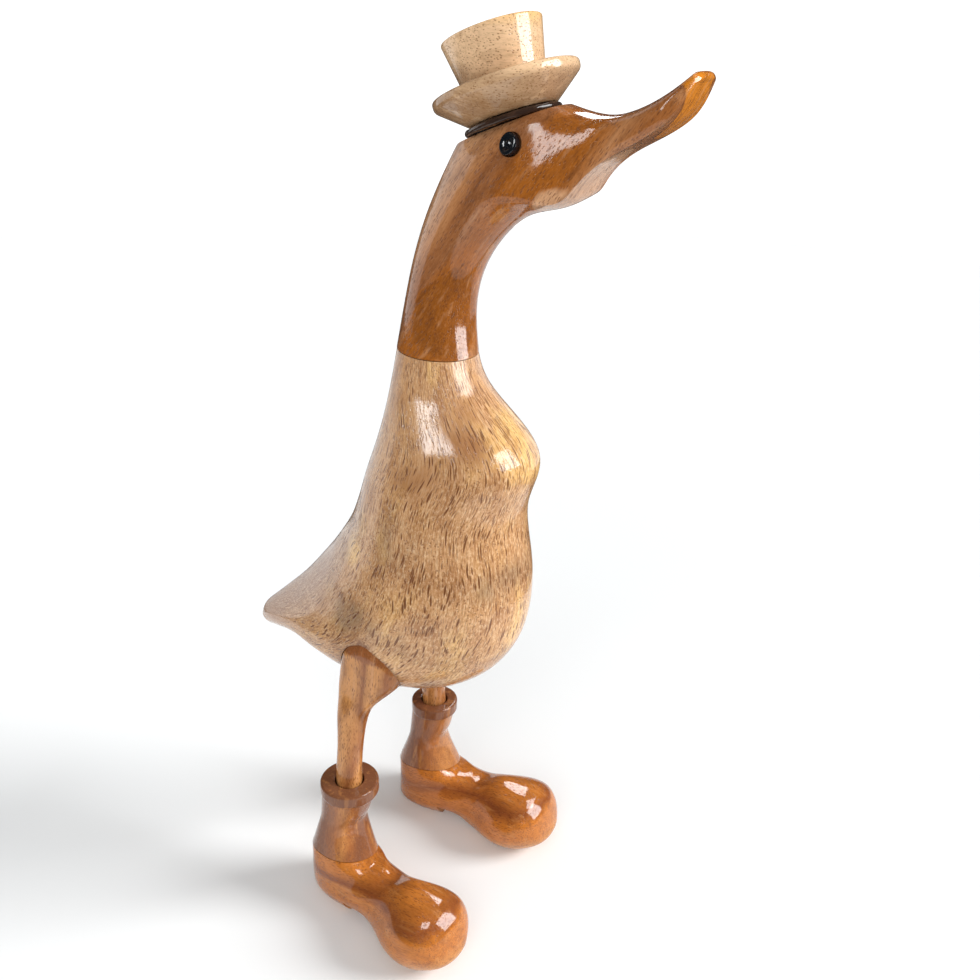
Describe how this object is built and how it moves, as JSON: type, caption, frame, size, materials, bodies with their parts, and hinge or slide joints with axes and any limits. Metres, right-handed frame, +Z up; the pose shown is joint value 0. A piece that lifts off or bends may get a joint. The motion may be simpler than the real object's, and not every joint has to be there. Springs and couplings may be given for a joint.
{
  "type": "wooden duck figurine",
  "caption": "Upright carved wooden duck with a small leaning top hat, bead eyes, an upturned bill, a pointed tail and bulbous-toed boots.",
  "frame": {"origin": "middle of the bounding box at the height of the boot soles", "axes": "+X the way the duck looks, +Y its left side, +Z up along the neck to the hat"},
  "size_m": [0.1752, 0.1064, 0.3272],
  "materials": {
    "root_wood": "speckled tan bamboo root under clear gloss varnish",
    "head_wood": "streaked reddish brown wood, high gloss varnish",
    "hat_wood": "pale straw-coloured wood with small brown flecks, gloss varnish",
    "dark_glue": "dark brown hardened glue, glossy",
    "eye_bead": "black, polished",
    "leg_wood": "honey brown wood, gloss varnish",
    "shaft_wood": "dark reddish brown wood, gloss varnish",
    "foot_wood": "orange-brown wood, high gloss varnish"
  },
  "bodies": {
    "root": {"body": "root_wood", "head": "head_wood", "hat": "hat_wood", "hat_seat": "dark_glue", "eye_right": "eye_bead", "eye_left": "eye_bead", "leg_right": "leg_wood", "leg_left": "leg_wood", "boot_shaft_right": "shaft_wood", "boot_shaft_left": "shaft_wood", "boot_foot_right": "foot_wood", "boot_foot_left": "foot_wood"}
  },
  "joints": []
}
